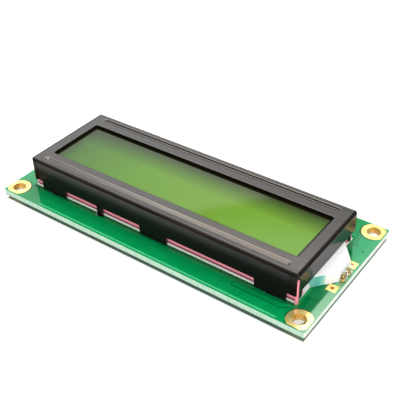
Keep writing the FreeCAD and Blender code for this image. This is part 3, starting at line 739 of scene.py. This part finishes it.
def add_rim_highlight_strip(shape, lobe, body_low, body_high):
    """Adds a raised white strip of painted rim highlight, which runs up a lobe's flank, away from
    the board's middle, and over it.

    Out is measured from the lobe's axis, which is given in plan.
    """
    half_width, depth, top_depth, corner_radius = 0.09, 0.14, 0.1, 0.35
    top, top_end, reach = body_high.z - 0.01, 0.45, body_high.x - lobe.x + 0.03
    way = Vector((math.cos(RIM_STRIP_TURN), math.sin(RIM_STRIP_TURN)))
    side = Vector((-way.y, way.x)) * half_width
    crown = [(reach - corner_radius * (1 - math.cos(a)), top - corner_radius * (1 - math.sin(a)))
             for a in (0.0, 0.4, 0.8, 1.2, math.pi / 2)]
    sections = []
    for out, z in [(reach, body_low.z + 0.1)] + crown + [(top_end, top)]:
        inner_z = z - top_depth if z > body_high.z - corner_radius else z
        outer, inner = lobe + way * out, lobe + way * (out - depth)
        sections.append([(*(outer - side), z), (*(outer + side), z),
                         (*(inner + side), inner_z), (*(inner - side), inner_z)])
    shape.sweep(sections)


def lamp_inside():
    """Leads with narrow feet, a gold cup in each lobe, a dark die seat in the cup, and white
    strips of painted rim highlight.
    """
    post_half_x, post_half_y, foot_half_x, foot_height, lobe_radius = 0.1, 0.3, 0.07, 0.08, 1.0
    lead_shape, seats, rim_strips = Shape(), Shape(), Shape()
    body_low, body_high = box_mm("lamp_body")
    for name in ("cathode", "anode"):
        low, high = box_mm("lamp_lead_" + name)
        x = box_mm("lamp_die_" + name)[1].x + post_half_x
        y = middle_of("lamp_die_" + name).y
        foot_low_y, foot_high_y = sorted((y, low.y if name == "cathode" else high.y))
        post = rectangle(x - post_half_x, y - post_half_y, x + post_half_x, y + post_half_y)
        foot = rectangle(x - foot_half_x, foot_low_y, x + foot_half_x, foot_high_y)
        lead_shape.prism(post, low.z, high.z)
        lead_shape.prism(foot, low.z, low.z + foot_height)
        cup = (body_high.x - 0.8, y - 0.25)
        lead_shape.tube(cup, 0.62, 0.16, low.z + 0.1, low.z + 0.8)
        lead_shape.tube(cup, 0.3, 0.12, low.z + 1.0, low.z + 1.4)
        seats.prism(circle(cup, 0.48, 20), low.z + 0.3, low.z + 0.6)
        add_rim_highlight_strip(rim_strips, Vector((body_high.x - lobe_radius, y)), body_low, body_high)

    gold = plain_look("cup_gold", (0.2, 0.085, 0.01), (1.0, 0.78, 0.2), 0.22,
                      scale=2.6, Metallic=0.4)
    dark = plain_look("cup_inside", (0.02, 0.02, 0.005), (0.1, 0.06, 0.01), 0.3, scale=5.0)
    # White strips of painted rim highlight along the lobes' outlines
    white = plain_look("rim_highlight_white", (0.86, 0.86, 0.82), (1.0, 1.0, 0.98), 0.15, scale=3.0)
    leads = dress("lamp_leads", lead_shape, gold)
    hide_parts("lamp_lead_anode", "lamp_lead_cathode")
    dress("cup_seats", seats, dark)
    dress("lamp_rim_highlights", rim_strips, white)


def bond_wires():
    """Gold wire from each light-emitting chip, in a half loop inside the lamp's clear resin."""
    radius, half_span, rise, set_back = 0.035, 0.28, 0.3, 0.1
    sides, steps = 6, 12
    wires = Shape()
    for name in ("anode", "cathode"):
        x, y = middle_of("lamp_die_" + name).xy
        chip_top = box_mm("lamp_die_" + name)[1].z
        sections = []
        for i in range(steps + 1):
            t = math.pi * i / steps
            outward = Vector((0, -math.cos(t), math.sin(t)))
            centre = Vector((x, y - set_back + half_span * (1 - math.cos(t)),
                             chip_top + rise * math.sin(t)))
            sections.append([])
            for k in range(sides):
                a = 2 * math.pi * k / sides
                spoke = outward * math.cos(a) + Vector((1, 0, 0)) * math.sin(a)
                sections[-1].append(tuple(centre + spoke * radius))
        wires.sweep(sections)
    dress("bond_wires", wires, LOOKS["gold_plating"])


board_detail()
underside_detail()
seam_filling()
lamp_inside()
bond_wires()


# Floor, light and surroundings

FLOOR_HALF_SIZE = 3000.0

# World strengths: what diffuse light meets, and what mirrors see behind the object, in front of
# it, in the bright patch above it and up the slope of light towards the ceiling
AMBIENT, BACKDROP, FRONT, CANOPY = 0.38, 1.45, 0.04, 6.4
CEILING = (0.36, 1.25)
CANOPY_TINT = (1.0, 0.87, 0.75)


def direction_to(azimuth, elevation):
    """Unit vector from the object, from two angles in degrees."""
    a, e = math.radians(azimuth), math.radians(elevation)
    return Vector((math.cos(a) * math.cos(e), math.sin(a) * math.cos(e), math.sin(e)))


def make_floor():
    """White paper. It stays white up to the board's outline; under the board it is painted a dark
    grey-green shadow, with white spots of painted light where the mounting holes look through.
    """
    sheet = Shape()
    sheet.corners = [(x, y, 0.0) for x, y in rectangle(-FLOOR_HALF_SIZE, -FLOOR_HALF_SIZE,
                                                       FLOOR_HALF_SIZE, FLOOR_HALF_SIZE)]
    sheet.faces = [(0, 1, 2, 3)]
    floor = sheet.made("floor")
    look = Look("floor_paper", Roughness=0.4, Specular_IOR_Level=0.2)
    look.shader.inputs["Emission Color"].default_value = (*WHITE, 1.0)
    rays = look.add("ShaderNodeLightPath").outputs
    seen, mirrored = rays["Is Camera Ray"], rays["Is Glossy Ray"]
    x, y = look.axes()[:2]
    past_outline = look.highest(look.minus(look.size(x), board_high.x),
                                look.minus(look.size(y), board_high.y))
    outside = look.span(past_outline, -0.35, 0.0)

    # What shows through a mounting hole lies this far from the hole, and is painted white there as
    # a spot of light under the board
    spot_x, spot_y = -1.7, 2.2
    for hole_x in (-MOUNT_X, MOUNT_X):
        for hole_y in (-MOUNT_Y, MOUNT_Y):
            from_spot = look.minus(x, hole_x + spot_x), look.minus(y, hole_y + spot_y)
            painted_light_spot = look.span(look.sum_of_squares(*from_spot), 3.2, 2.2)
            outside = look.highest(outside, painted_light_spot)

    grain = look.two_tone(look.noise(0.02), (0.8, 0.8, 0.8), (0.84, 0.84, 0.84))
    # Painted shadow: the floor under the board is dark grey-green
    painted_shadow = look.mix(outside, (0.16, 0.21, 0.18), (0.97, 0.97, 0.97))
    look.set("Base Color", look.mix(seen, grain, painted_shadow))
    glow = look.highest(look.times(seen, 0.5), look.times(mirrored, 0.25))
    look.set("Emission Strength", look.times(glow, outside))
    floor.data.materials.append(look.material)


def make_world():
    """Even pale surroundings; a glossy surface sees a bright backdrop behind and a dark front."""
    world = bpy.data.worlds.new("surroundings")
    bpy.context.scene.world = world
    world.use_nodes = True
    world.cycles.sampling_method = "NONE"
    nodes = Nodes(world.node_tree)
    direction = nodes.add("ShaderNodeTexCoord").outputs["Generated"]
    rays = nodes.add("ShaderNodeLightPath").outputs

    def along(vector):
        return nodes.add("ShaderNodeVectorMath", {0: direction, 1: vector},
                         operation="DOT_PRODUCT").outputs["Value"]

    ceiling = nodes.span(along((7.7, -15.35, 21.3)), -0.55, 0.8, *CEILING)
    below_slant = nodes.span(along((-0.632, 0.494, -1.0)), -0.003, 0.012)
    backdrop = nodes.blend(below_slant, ceiling, BACKDROP)
    behind = nodes.span(along((-0.606, 0.795, 0.0)), -0.1, 0.2)
    surround = nodes.blend(behind, FRONT, backdrop)
    canopy = nodes.span(along(tuple(direction_to(135.0, 71.0))),
                        math.cos(math.radians(32.5)), math.cos(math.radians(21.0)))
    mirrored = nodes.blend(canopy, surround, CANOPY)

    clear = nodes.highest(rays["Is Camera Ray"], rays["Is Transmission Ray"])
    unmirrored = nodes.slope(clear, 0.0, 1.0, AMBIENT, 1.0)
    strength = nodes.blend(rays["Is Glossy Ray"], unmirrored, mirrored)
    tint = nodes.mix(nodes.times(rays["Is Glossy Ray"], canopy), WHITE, CANOPY_TINT)
    background = world.node_tree.nodes["Background"]
    world.node_tree.links.new(strength, background.inputs["Strength"])
    world.node_tree.links.new(tint, background.inputs["Color"])


def soft_light(name, way, distance, width, height, radiance, colour):
    """Rectangular soft light that faces the object. Mirrors see the surroundings instead of it."""
    light = bpy.data.lights.new(name, "AREA")
    light.shape = "RECTANGLE"
    light.size, light.size_y = width, height
    light.energy = radiance * width * height * math.pi
    light.color = colour
    made = bpy.data.objects.new(name, light)
    made.visible_glossy = False
    made.location = way * distance
    made.rotation_euler = way.to_track_quat("Z", "Y").to_euler()
    bpy.context.scene.collection.objects.link(made)


make_floor()
make_world()
soft_light("overhead", direction_to(100.0, 68.0), 0.7, 0.6, 0.45, 2.75, (1.0, 0.97, 0.92))
soft_light("side", direction_to(12.0, 42.0), 0.9, 0.3, 0.3, 8.0, WHITE)
soft_light("front", direction_to(-62.0, 32.0), 0.9, 0.45, 0.3, 10.5, WHITE)

bpy.context.scene.view_settings.view_transform = "Standard"
